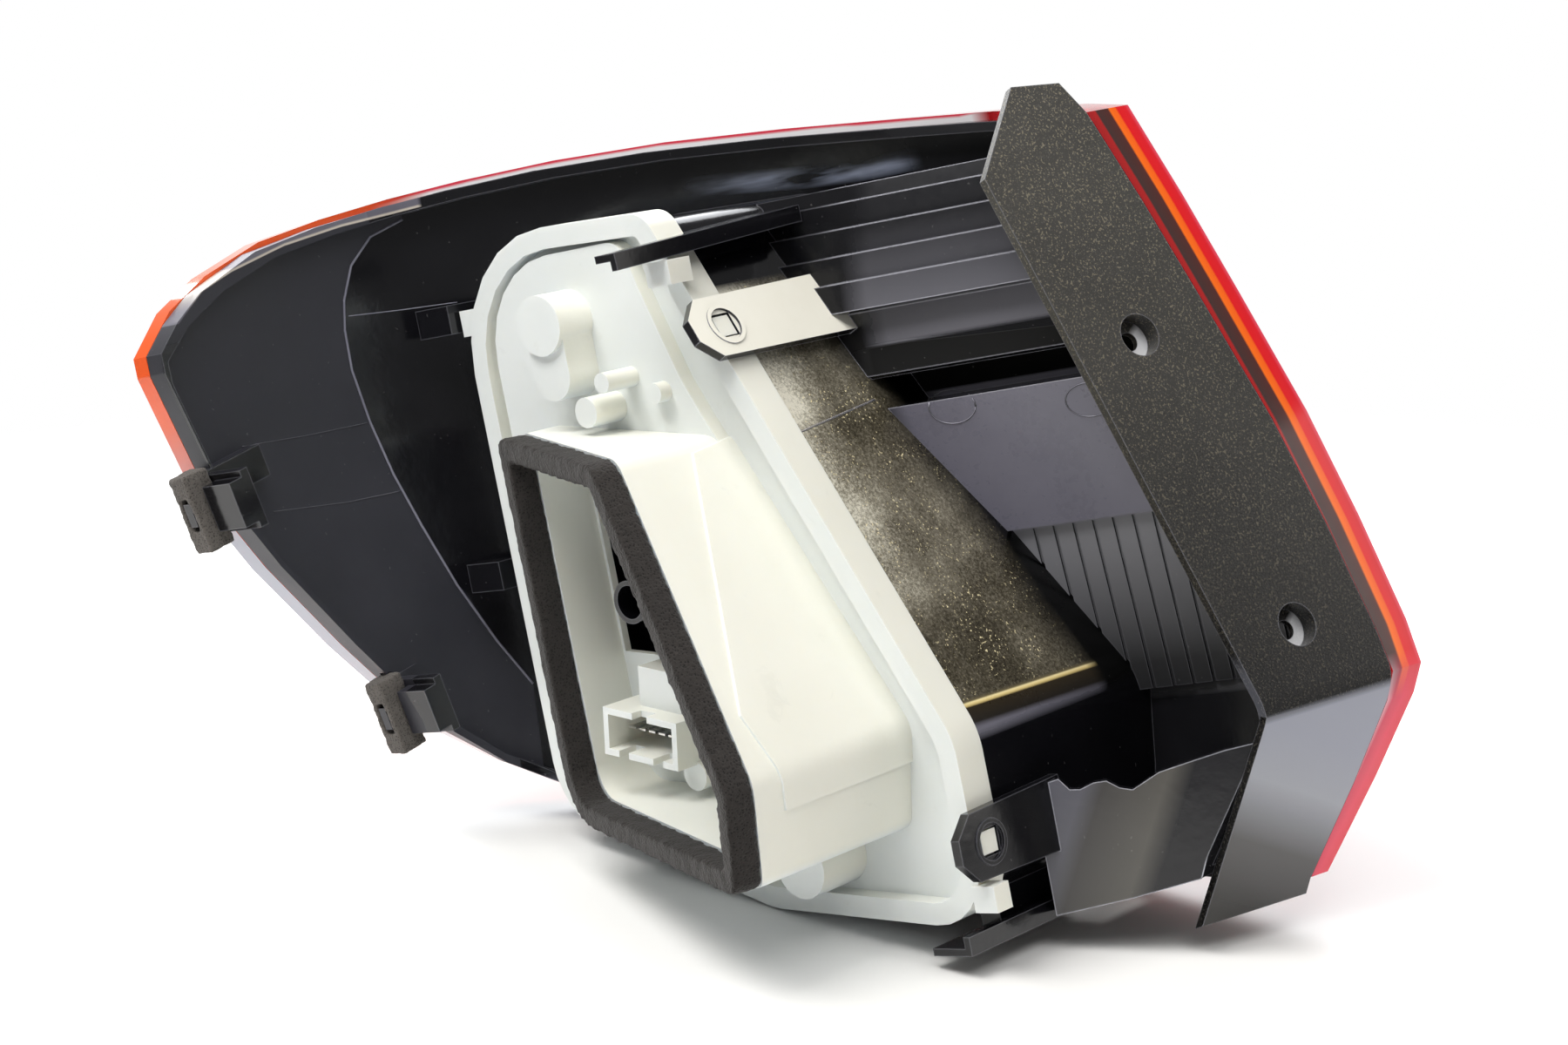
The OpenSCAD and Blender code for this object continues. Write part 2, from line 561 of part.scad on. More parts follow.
// Contact strips: a riser in a bulb holder, a run along the back of the carrier, a blade in the plug
strip_w = 2;
strip_y = flange_y + flange_t;
module run(a, b) {
  x0 = min(a.x, b.x) - strip_w / 2;
  z0 = min(a.y, b.y) - strip_w / 2;
  translate([x0, strip_y, z0]) cube([abs(a.x - b.x) + strip_w, 0.8, abs(a.y - b.y) + strip_w]);
}
module route(pts) {
  for (i = [0:len(pts) - 2]) run(pts[i], pts[i + 1]);
}
module blade(i) {
  p = pin_at(i);
  translate([p.x, 0, p.y]) rotate([0, plug_tilt, 0])
    translate([-1.3, -85, -0.3]) cube([2.6, strip_y + 0.8 + 85, 0.6]);
}
module riser(i) {
  notch_place(i) {
    translate([1.8, bulb_y, -1.2]) cube([5.6, strip_t, 2.4]);
    translate([6.6, bulb_y, -1.2]) cube([0.8, strip_y + 0.8 - bulb_y, 2.4]);
    translate([6.6, strip_y, -1.2]) cube([4, 0.8, 2.4]);
  }
}
module strip(i, pin, pts) {
  color("#b98a4a") {
    riser(i);
    route(pts);
    blade(pin);
  }
}
// Level of the ground strip above the back of the carrier, and its flat pieces
module flat(x0, z0, x1, z1) {
  translate([x0, strip_y + 1.8, z0]) cube([x1 - x0, 0.8, z1 - z0]);
}
module ground_strip() {
  p = pin_at(5);
  color("#b98a4a") {
    blade(5);
    translate([p.x - 1.3, strip_y, p.y - 1]) cube([2.6, 2.6, 2]);
    flat(p.x - 1, -102.5, p.x + 1, p.y);
    flat(-175, -102.5, -65, -100.5);
    flat(-175, -102.5, -173, 35);
    flat(-175, 33, bulb_sites[0].x - cap_d / 2 - 0.3, 35);
    flat(-67, -102.5, -65, -41);
    flat(bulb_sites[1].x + cap_d / 2 + 0.3, -43, -65, -41);
    flat(bulb_sites[2].x + cap_d / 2 + 0.3, -83, -65, -81);
    flat(-106, -130.5, -104, -101);
    flat(-106, -130.5, bulb_sites[3].x - cap_d / 2 - 0.3, -128.5);
  }
}

housing();
side_trim_panel();
outer_lens();
clear_window();
reflector();
inner_bezel();
bulb_carrier();
carrier_seal();
body_gasket();
foam_pad(0);  // upper_foam_pad
foam_pad(1);  // lower_foam_pad
bulb_glass(bulb_sites[0]);  // turn_bulb_glass
bulb_cap(bulb_sites[0]);  // turn_bulb_cap
bulb_glass(bulb_sites[1]);  // tail_bulb_glass
bulb_cap(bulb_sites[1]);  // tail_bulb_cap
bulb_glass(bulb_sites[2]);  // reverse_bulb_glass
bulb_cap(bulb_sites[2]);  // reverse_bulb_cap
bulb_glass(bulb_sites[3]);  // fog_bulb_glass
bulb_cap(bulb_sites[3]);  // fog_bulb_cap
strip(0, 0, [[-147, 24.4], [-147, 20], [-168, 20], [-168, -87.4], [-145.3, -87.4]]);  // turn_strip
strip(1, 2, [[-100, -51.6], [-100, -76], [-137.5, -76], [-137.5, -89]]);  // tail_strip
strip(2, 1, [[-90.4, -42], [-89, -42], [-89, -4.5], [-162, -4.5], [-162, -81], [-141.4, -81],  // stop_strip
    [-141.4, -88.2]]);
strip(3, 3, [[-89.6, -82], [-133.5, -82], [-133.5, -89.9]]);  // reverse_strip
strip(4, 4, [[-84, -119.9], [-84, -107], [-129.6, -107], [-129.6, -90.7]]);  // fog_strip
ground_strip();
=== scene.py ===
"""Looks for the tail light cluster: materials, foam, moulding details, floor, lights and camera.

Metres, in the frame of the CAD part. +Z is up, +Y is rearward out of the lens.
"""

import json
import math

import bmesh
import bpy
from mathutils import Matrix, Vector
from mathutils import noise as field
from mathutils.bvhtree import BVHTree


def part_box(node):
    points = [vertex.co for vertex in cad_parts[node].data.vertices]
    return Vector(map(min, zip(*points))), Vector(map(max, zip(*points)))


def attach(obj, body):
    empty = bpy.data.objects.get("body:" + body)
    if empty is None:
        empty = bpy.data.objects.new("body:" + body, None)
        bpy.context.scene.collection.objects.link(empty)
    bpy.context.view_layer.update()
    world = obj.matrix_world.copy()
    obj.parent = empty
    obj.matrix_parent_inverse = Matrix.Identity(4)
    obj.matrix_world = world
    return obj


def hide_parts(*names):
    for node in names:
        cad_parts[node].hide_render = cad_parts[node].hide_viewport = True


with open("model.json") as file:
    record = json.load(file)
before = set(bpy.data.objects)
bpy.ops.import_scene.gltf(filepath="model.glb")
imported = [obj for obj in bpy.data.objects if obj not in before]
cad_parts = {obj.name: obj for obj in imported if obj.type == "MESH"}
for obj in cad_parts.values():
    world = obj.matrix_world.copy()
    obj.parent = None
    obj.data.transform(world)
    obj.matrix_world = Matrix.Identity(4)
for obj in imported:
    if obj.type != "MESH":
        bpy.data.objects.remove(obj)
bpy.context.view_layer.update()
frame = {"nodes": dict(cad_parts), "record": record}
nodes = frame["nodes"]
slots = {s["node"]: s["material_slot"] for s in frame["record"]["subparts"]}
IN_MM = 1000.0


def mm(v):
    return v * 0.001


# Camera of the photograph
PHOTO = (1800, 1200)
RIGHT = Vector((0.7176, 0.6700, -0.1901)).normalized()
UP = Vector((0.0779, 0.1941, 0.9779)).normalized()
AHEAD = UP.cross(RIGHT).normalized()
UP = RIGHT.cross(AHEAD).normalized()
EYE = mm(Vector((533.28, -707.68, 44.06)))
FOCAL_PX = 3600.0
SENSOR_MM = 36

# Slanted side panel of the lamp: its length, its width and the way it faces
PANEL_UP = Vector((-0.28105, 0.08059, 0.95630))
ACROSS = Vector((0.27564, 0.96126, 0.0))
PANEL_OUT = Vector((0.91926, -0.26359, 0.29237))
# Side of the screw recesses that catches light
GLINT_WAY = ACROSS * 0.6 - PANEL_UP * 0.8
# Outer corner of the lens beside it: place along PANEL_UP and reach along ACROSS, in millimetres, and a
# reach that none of them passes
CORNER = [(-157.2, 24.4), (-136.4, 39.1), (-118, 50.2), (-111, 52.4), (-98, 53), (-65.5, 50.6),
          (-32.4, 46.6), (7.2, 38.9), (38, 32.6), (67.2, 25.7)]
MOST_REACH = 60.0
# Width of its bands of colour, the width at its foot, and where the foot's bands take over
CORNER_BANDS, FOOT_BANDS = 15.0, 14.0
FOOT_FADE = (-106.0, -118.0)

# Chamber flank, a plane that the clip arms run along
FLANK = Vector((0.893, 0.0, 0.451)).normalized()
FLANK_AT = mm(-73.3)

# Ways that other faces look
STEPS_OUT = (0.29, -0.957, 0.0)
PLATE_OUT = (0.29, -0.95, 0.12)
TRAY_OUT = (0.56, -0.83, 0.0)
CARRIER_SIDE = (0.893, -0.1, 0.44)
BACKWARD = (0.0, -1.0, 0.0)
# The tray's bands of colour lean: a height on them, and how far they move with height
TRAY_AT, TRAY_LEAN = mm(-118), 0.43

# Lines and spots of the photograph, in its pixels
SEAM = [(462, 252), (425, 272), (403, 305), (395, 345), (396, 380), (404, 425), (425, 485), (452, 545),
        (485, 605), (525, 672), (570, 735), (612, 785)]
RIM_UNDER = [(205, 372), (232, 335), (266, 312), (327, 282), (393, 260), (453, 245), (480, 238)]
SHADOW = [(975, 395), (1032, 450), (1085, 530), (1150, 610), (1200, 685), (1245, 745), (1266, 775)]
FOLD = [(1100, 812), (1270, 757)]
SCREWS = [(1308, 384), (1490, 715)]
BESIDE_SCREW = 48
SLOT_TOP = [(1040, 393), (1120, 384), (1215, 373)]
STREAK = [(800, 214), (860, 209), (930, 203), (985, 196)]
LENS_COLUMNS = range(250, 1150, 36)
LENS_ROWS = range(60, 420)
WING_UPPER = [(278, 513), (350, 501), (422, 486)]
WING_LOWER = [(314, 588), (400, 577), (461, 564)]
WING_TOP = [(400, 363), (460, 356), (525, 347)]
FLANK_SEAM = [(912, 499), (1004, 459)]
EJECTORS = [(1093, 467), (1250, 459)]
# Half sizes of an ejector mark, and the spacing of points along a moulding line
EJECTOR_WIDE, EJECTOR_HIGH = 27, 0.72 * 27
EJECTOR_TURNS = 24
BEAD_STEP = 8.0

# Zones of the part: axis, and where the mask is 0 and where it is 1, in millimetres
ZONES = {
    "rim": [("X", -205, -208)],
    "rim_glint": [("Z", 58, 66)],
    "glow": [("X", -150, -118), ("Y", -24, -16)],
    "steps": [("X", -82, -74), ("Z", 9.0, 10.5)],
    "low_steps": [("Z", 44, 12)],
    "slot": [("X", -86, -80), ("Z", -7.6, -6.8)],
    "plate": [("X", -80, -72), ("Z", -108, -104), ("Z", -6.8, -7.6)],
    "grooves": [("Z", -50.5, -52)],
    "pit_shade": [("Z", -55, -96)],
    "tray": [("Z", -104, -108)],
    "flank": [("X", -112, -104), ("Z", 36, 33)],
    "near": [("Y", -42, -60), ("Z", -70, -30)],
    "middle": [("Z", -72, -60), ("Z", -12, -34)],
    "crown": [("Z", -10, 0), ("Y", -18, -34)],
    "arm_highlight": [("Z", 12, 14), ("Z", 38, 36)],
    "arm_root": [("Y", -16, 4)],
    "bright_edges": [("X", -92, -84), ("Z", -11, -9), ("Z", 64, 60)],
    "leg": [("Z", -90, -96)],
    "corner": [("X", -60, -45)],
    "tip": [("X", -205, -232)],
    "clear_edge": [("X", -95, -120)],
    "top_rim_highlight": [("Z", 52, 58), ("X", -50, -56), ("X", -224, -214)],
}

# Dark and light tone of each surface
TONES = {
    "chamber": ((0.0035, 0.0035, 0.0045), (0.008, 0.008, 0.010)),
    "wing": ((0.015, 0.015, 0.021), (0.029, 0.029, 0.038)),
    "rim": ((0.105, 0.100, 0.125), (0.155, 0.150, 0.185)),
    "steps": ((0.010, 0.010, 0.013), (0.150, 0.148, 0.172)),
    "plate": ((0.29, 0.28, 0.365), (0.39, 0.38, 0.475)),
    "arm_highlight": ((0.82, 0.79, 0.67), (0.93, 0.91, 0.83)),
    "edges": ((0.22, 0.22, 0.25), (0.62, 0.62, 0.70)),
    "seam": ((0.15, 0.15, 0.19), (0.26, 0.26, 0.32)),
    "panel_low": ((0.006, 0.006, 0.006), (0.012, 0.011, 0.011)),
    "panel_high": ((0.040, 0.038, 0.034), (0.068, 0.065, 0.058)),
    "lens": ((0.52, 0.003, 0.006), (0.68, 0.008, 0.012)),
    "top_rim_highlight": ((0.80, 0.05, 0.09), (0.93, 0.92, 0.94)),
    "window": ((0.86, 0.88, 0.90), (0.93, 0.94, 0.95)),
    "mirror": ((0.78, 0.79, 0.80), (0.88, 0.89, 0.90)),
    "bezel": ((0.10, 0.10, 0.108), (0.15, 0.15, 0.16)),
    "carrier_cool_light": ((0.70, 0.76, 0.79), (0.79, 0.83, 0.85)),
    "carrier_warm_light": ((0.82, 0.81, 0.71), (0.88, 0.87, 0.79)),
    "gasket": ((0.016, 0.014, 0.013), (0.040, 0.035, 0.032)),
    "pad": ((0.085, 0.076, 0.068), (0.150, 0.135, 0.122)),
    "rubber": ((0.018, 0.018, 0.019), (0.034, 0.034, 0.036)),
    "glass": ((0.93, 0.95, 0.96), (0.98, 0.99, 0.99)),
    "cap": ((0.40, 0.31, 0.16), (0.66, 0.53, 0.30)),
    "brass": ((0.42, 0.41, 0.39), (0.66, 0.65, 0.62)),
    "floor": ((0.90, 0.89, 0.87), (0.93, 0.925, 0.91)),
}

# Single colours
PAINT = {
    "rim_glint": (0.62, 0.55, 0.46),
    "glow": (0.42, 0.47, 0.62),
    "slot": (0.0004, 0.0004, 0.0005),
    "lip": (0.30, 0.30, 0.34),
    "grooves": (0.23, 0.23, 0.25),
    "pit_shade": (0.004, 0.004, 0.005),
    "gold": (0.92, 0.80, 0.48),
    "dusk": (0.001, 0.001, 0.001),
    "shadow": (0.0005, 0.0005, 0.0005),
    "foot_shadow": (0.002, 0.002, 0.002),
    "arm_root": (0.30, 0.25, 0.15),
    "lint": (0.35, 0.34, 0.33),
    "fleck": (0.30, 0.26, 0.18),
    "small_fleck": (0.24, 0.23, 0.21),
    "screw_glint": (0.90, 0.90, 0.92),
    "panel_edge": (0.24, 0.24, 0.27),
    "tip": (1.0, 0.13, 0.02),
    "clear_edge": (0.36, 0.38, 0.45),
    "mirror_back": (0.012, 0.012, 0.014),
    "mark": (0.55, 0.55, 0.50),
    "carrier_edge_highlight": (0.94, 0.95, 0.95),
}

# Bands of colour: place and colour
RAMPS = {
    "tray": [(0.0, (0.085, 0.085, 0.108)), (0.26, (0.095, 0.094, 0.112)), (0.36, (0.052, 0.049, 0.047)),
             (0.66, (0.090, 0.085, 0.075)), (0.78, (0.012, 0.012, 0.014))],
    "dust_sheen_and_shadow": [(0.05, (0.014, 0.012, 0.008)), (0.35, (0.070, 0.060, 0.040)), (0.62, (0.20, 0.18, 0.135)),
               (0.85, (0.48, 0.45, 0.36)), (1.0, (0.78, 0.74, 0.62))],
    "foot": [(0.00, (0.10, 0.085, 0.055)), (0.06, (0.16, 0.13, 0.07)), (0.085, (0.95, 0.80, 0.42)),
             (0.125, (0.72, 0.55, 0.22)), (0.16, (0.030, 0.022, 0.012)), (0.42, (0.020, 0.017, 0.014)),
             (0.52, (0.16, 0.155, 0.19)), (0.80, (0.20, 0.195, 0.235)), (0.84, (0.01, 0.01, 0.01)),
             (1.00, (0.030, 0.024, 0.016))],
    "leg": [(0.0, (0.010, 0.009, 0.007)), (0.40, (0.075, 0.072, 0.072)), (0.72, (0.33, 0.34, 0.38)),
            (1.0, (0.30, 0.31, 0.37))],
    "corner": [(0.00, (0.80, 0.10, 0.16)), (0.10, (0.74, 0.012, 0.022)), (0.30, (0.78, 0.010, 0.012)),
               (0.34, (0.95, 0.13, 0.008)), (0.47, (0.98, 0.17, 0.008)), (0.51, (0.085, 0.024, 0.020)),
               (0.78, (0.060, 0.030, 0.028)), (0.82, (0.42, 0.016, 0.016)), (1.00, (0.36, 0.012, 0.014))],
    "corner_foot": [(0.0, (0.82, 0.03, 0.06)), (0.30, (0.84, 0.04, 0.09)), (0.58, (0.66, 0.03, 0.08)),
                    (0.78, (0.80, 0.50, 0.56)), (1.0, (0.84, 0.82, 0.84))],
}

# Shading: the angle over which an edge stays sharp, for most pieces and for the lofted ones, and the
# distance under which doubled vertices count as one
SHARP = math.radians(30)
LOFT_SHARP = math.radians(24)
LOFTED = ("housing", "outer_lens", "inner_bezel", "clear_window")
WELD = mm(0.004)

# Foam: how far its surface wanders, how often and how strongly it is smoothed, and how far it stays
# inside the CAD box
WOBBLE = mm(0.5)
SMOOTHINGS, SMOOTH_FACTOR = 4, 0.5
INSIDE = Vector((mm(0.02),) * 3)
# Its lumps: share and waves in a millimetre, and the height taken off them
LUMPS = [(0.6, 0.22), (0.4, 0.8)]
LUMP_LEVEL = 0.25

# Moulding lines: the longest step between two hits, and the section of a bead in shares of width and height
JUMP = mm(6)
SECTION = [(-0.5, -0.3), (-0.42, 0.45), (0.0, 1.0), (0.42, 0.45), (0.5, -0.3)]

# Floor: a tilted round sheet under the part that fades out at its rim
FLOOR_TILT = math.radians(14)
FLOOR_GAP = mm(0.2)
FLOOR_RADIUS = 0.75
FLOOR_SIDES = 96
FLOOR_FADE = (0.74, 0.45)
FLOOR_MIDDLE = Vector((-0.09, -0.06, -0.03))

# Lights round the part: place along RIGHT, UP and AHEAD, size, watts and colour
PART_MIDDLE = Vector((-0.09, -0.06, -0.04))
LIGHTS = {
    "key": ((-0.55, 1.0, -0.55), (0.9, 0.6), 17.5, (1.0, 0.99, 0.97)),
    "front": ((0.3, 1.1, -1.0), (0.8, 0.8), 8, (1.0, 1.0, 1.0)),
    "back": ((-0.1, 0.85, 0.7), (1.4, 0.5), 14, (0.95, 0.97, 1.0)),
    "right": ((1.1, 0.25, -0.1), (0.5, 0.7), 1.2, (1.0, 0.97, 0.93)),
}
# World: how far a way must point ahead to be dim and to be bright, and both strengths
WORLD_FADE = (0.55, 0.86, 0.20, 1.0)


def tree_of(node):
    mesh = nodes[node].data
    faces = [list(p.vertices) for p in mesh.polygons]
    return BVHTree.FromPolygons([v.co.copy() for v in mesh.vertices], faces)


house = tree_of("housing")
lens = tree_of("outer_lens")
panel = tree_of("side_trim_panel")


# Points of the part under pixels of the photograph
def ray(px, py):
    across, down = (px - PHOTO[0] / 2) / FOCAL_PX, (py - PHOTO[1] / 2) / FOCAL_PX
    return (AHEAD + RIGHT * across - UP * down).normalized()


def land(px, py, tree=house):
    """Nearest point of a node's surface under a pixel, and its normal towards the camera."""
    hit, normal, _, _ = tree.ray_cast(EYE, ray(px, py))
    if hit is None:
        return None
    if normal.dot(ray(px, py)) > 0:
        normal = -normal
    return hit, normal


def spots(pixels):
    return [land(*p)[0] for p in pixels]


def on_flank(px, py):
    way = ray(px, py)
    return EYE + way * ((FLANK_AT - FLANK.dot(EYE)) / FLANK.dot(way))


def on_panel(px, py):
    """Point of the panel's face under a pixel that may lie over a hole."""
    face = land(px + BESIDE_SCREW, py, panel)[0]
    way = ray(px, py)
    return EYE + way * (PANEL_OUT.dot(face - EYE) / PANEL_OUT.dot(way))


def top_edge(px):
    """Highest point of the lens under one column of pixels."""
    for py in LENS_ROWS:
        hit = land(px, py, lens)
        if hit:
            return hit[0]
    return None


class Tree:
    """A material's node tree, with short names for the nodes that it uses."""

    def __init__(self, name):
        self.mat = bpy.data.materials.new(name)
        self.mat.use_nodes = True
        self.nt = self.mat.node_tree
        self.shader = self.nt.nodes["Principled BSDF"]
        self.coord = self.add("ShaderNodeTexCoord").outputs["Object"]
        self.normal = self.add("ShaderNodeNewGeometry").outputs["Normal"]
        self.axes = self.add("ShaderNodeSeparateXYZ", self.coord).outputs

    def add(self, kind, *inputs, **settings):
        n = self.nt.nodes.new(kind)
        for k, v in settings.items():
            setattr(n, k, v)
        for i, v in enumerate(inputs):
            self.feed(n.inputs[i], v)
        return n

    def feed(self, socket, v):
        if v is None:
            return
        if isinstance(v, bpy.types.NodeSocket):
            self.nt.links.new(v, socket)
        elif isinstance(v, tuple) and len(v) == 3 and socket.type == "RGBA":
            socket.default_value = (*v, 1.0)
        else:
            socket.default_value = v

    def set(self, **values):
        for k, v in values.items():
            self.feed(self.shader.inputs[k.replace("_", " ")], v)

    # Sums
    def math(self, op, a, b=None):
        return self.add("ShaderNodeMath", a, b, operation=op).outputs[0]

    def times(self, a, b):
        return self.math("MULTIPLY", a, b)

    def minus(self, a, b):
        return self.math("SUBTRACT", a, b)

    def most(self, a, b):
        return self.math("MAXIMUM", a, b)

    def outside(self, mask):
        return self.minus(1.0, mask)

    def both(self, *masks):
        out = masks[0]
        for m in masks[1:]:
            out = self.times(out, m)
        return out

    def total(self, *parts):
        """Sum of masks with their shares, held at 1."""
        out = 0.0
        for mask, share in parts:
            n = self.add("ShaderNodeMath", mask, share, out, operation="MULTIPLY_ADD", use_clamp=True)
            out = n.outputs[0]
        return out

    def vector(self, op, a, b=None):
        return self.add("ShaderNodeVectorMath", a, b, operation=op).outputs

    def dot(self, a, b):
        return self.vector("DOT_PRODUCT", a, b)["Value"]

    # Masks
    def step(self, v, low, high, a=0.0, b=1.0):
        n = self.add("ShaderNodeMapRange", v, low, high, a, b)
        n.clamp = True
        return n.outputs[0]

    def gate(self, v, low, high):
        """0 at low and 1 at high, both in millimetres."""
        return self.step(v, mm(low), mm(high))

    def zone(self, name):
        return self.both(*(self.gate(self.axes[axis], low, high) for axis, low, high in ZONES[name]))

    def faces(self, way, low, high):
        """1 where the surface looks a given way."""
        return self.step(self.dot(self.normal, way), low, high)

    def slope(self, axis):
        return self.add("ShaderNodeSeparateXYZ", self.normal).outputs[axis]

    def edge(self, radius):
        """1 on rounded edges, where the materials paint highlights, 0 elsewhere."""
        n = self.add("ShaderNodeBevel", samples=4)
        n.inputs["Radius"].default_value = radius
        return self.step(self.dot(n.outputs[0], self.normal), 0.985, 0.86)

    def curve(self, v, points):
        n = self.add("ShaderNodeFloatCurve")
        self.feed(n.inputs["Value"], v)
        c = n.mapping.curves[0]
        while len(c.points) < len(points):
            c.points.new(0.5, 0.5)
        for p, (x, y) in zip(c.points, points):
            p.location = (x, y)
            p.handle_type = "VECTOR"
        n.mapping.update()
        return n.outputs[0]

    def trace(self, points, along, across):
        """Coordinate `across` of the line through points, read at each coordinate `along`."""
        pairs = sorted((getattr(p, along), getattr(p, across)) for p in points)
        low, high = pairs[0][0], pairs[-1][0]
        a, b = min(q for _, q in pairs), max(q for _, q in pairs)
        place = self.step(self.axes[along.upper()], low, high)
        c = self.curve(place, [((p - low) / (high - low), (q - a) / (b - a)) for p, q in pairs])
        return self.step(c, 0.0, 1.0, a, b)

    # Patterns
    def stretch(self, factors):
        n = self.add("ShaderNodeMapping")
        self.feed(n.inputs["Vector"], self.coord)
        n.inputs["Scale"].default_value = factors
        return n.outputs[0]

    def noise(self, scale, detail=3.0, rough=0.55, vector=None, distortion=0.0):
        n = self.add("ShaderNodeTexNoise")
        self.feed(n.inputs["Vector"], vector or self.coord)
        n.inputs["Scale"].default_value = scale
        n.inputs["Detail"].default_value = detail
        n.inputs["Roughness"].default_value = rough
        n.inputs["Distortion"].default_value = distortion
        return n.outputs["Fac"]

    def specks(self, scale, detail, above):
        return self.math("GREATER_THAN", self.noise(scale, detail, 0.5), above)

    def cells(self, scale):
        n = self.add("ShaderNodeTexVoronoi")
        self.feed(n.inputs["Vector"], self.coord)
        n.inputs["Scale"].default_value = scale
        return n.outputs["Distance"]

    def spread(self, v, a, b):
        """The usual reach of a noise, spread from a to b."""
        return self.step(v, 0.3, 0.7, a, b)

    # Colours and other mixes
    def ramp(self, v, name):
        n = self.add("ShaderNodeValToRGB", v)
        e = n.color_ramp.elements
        while len(e) < len(RAMPS[name]):
            e.new(0.5)
        for el, (p, c) in zip(e, RAMPS[name]):
            el.position = p
            el.color = (*c, 1.0)
        return n.outputs["Color"]

    def between(self, kind, f, a, b):
        n = self.add("ShaderNodeMix", data_type=kind)
        self.feed(n.inputs["Factor"], f)
        sort = "VALUE" if kind == "FLOAT" else kind
        for s, v in (("A", a), ("B", b)):
            self.feed([i for i in n.inputs if i.name == s and i.type == sort][0], v)
        return [o for o in n.outputs if o.type == sort][0]

    def mix(self, f, a, b):
        return self.between("RGBA", f, a, b)

    def blend(self, f, a, b):
        return self.between("FLOAT", f, a, b)

    def tones(self, f, name):
        return self.mix(f, *TONES[name])

    def tint(self, base, mask, name, share=1.0):
        """Base with a single colour laid over it where the mask is 1."""
        return self.mix(self.times(mask, share), base, PAINT[name])

    def bump(self, height, distance, strength, on=None):
        """Normal of a relief; its distance is in millimetres."""
        n = self.add("ShaderNodeBump")
        n.inputs["Strength"].default_value = strength
        n.inputs["Distance"].default_value = mm(distance)
        self.feed(n.inputs["Height"], height)
        self.feed(n.inputs["Normal"], on)
        return n.outputs["Normal"]


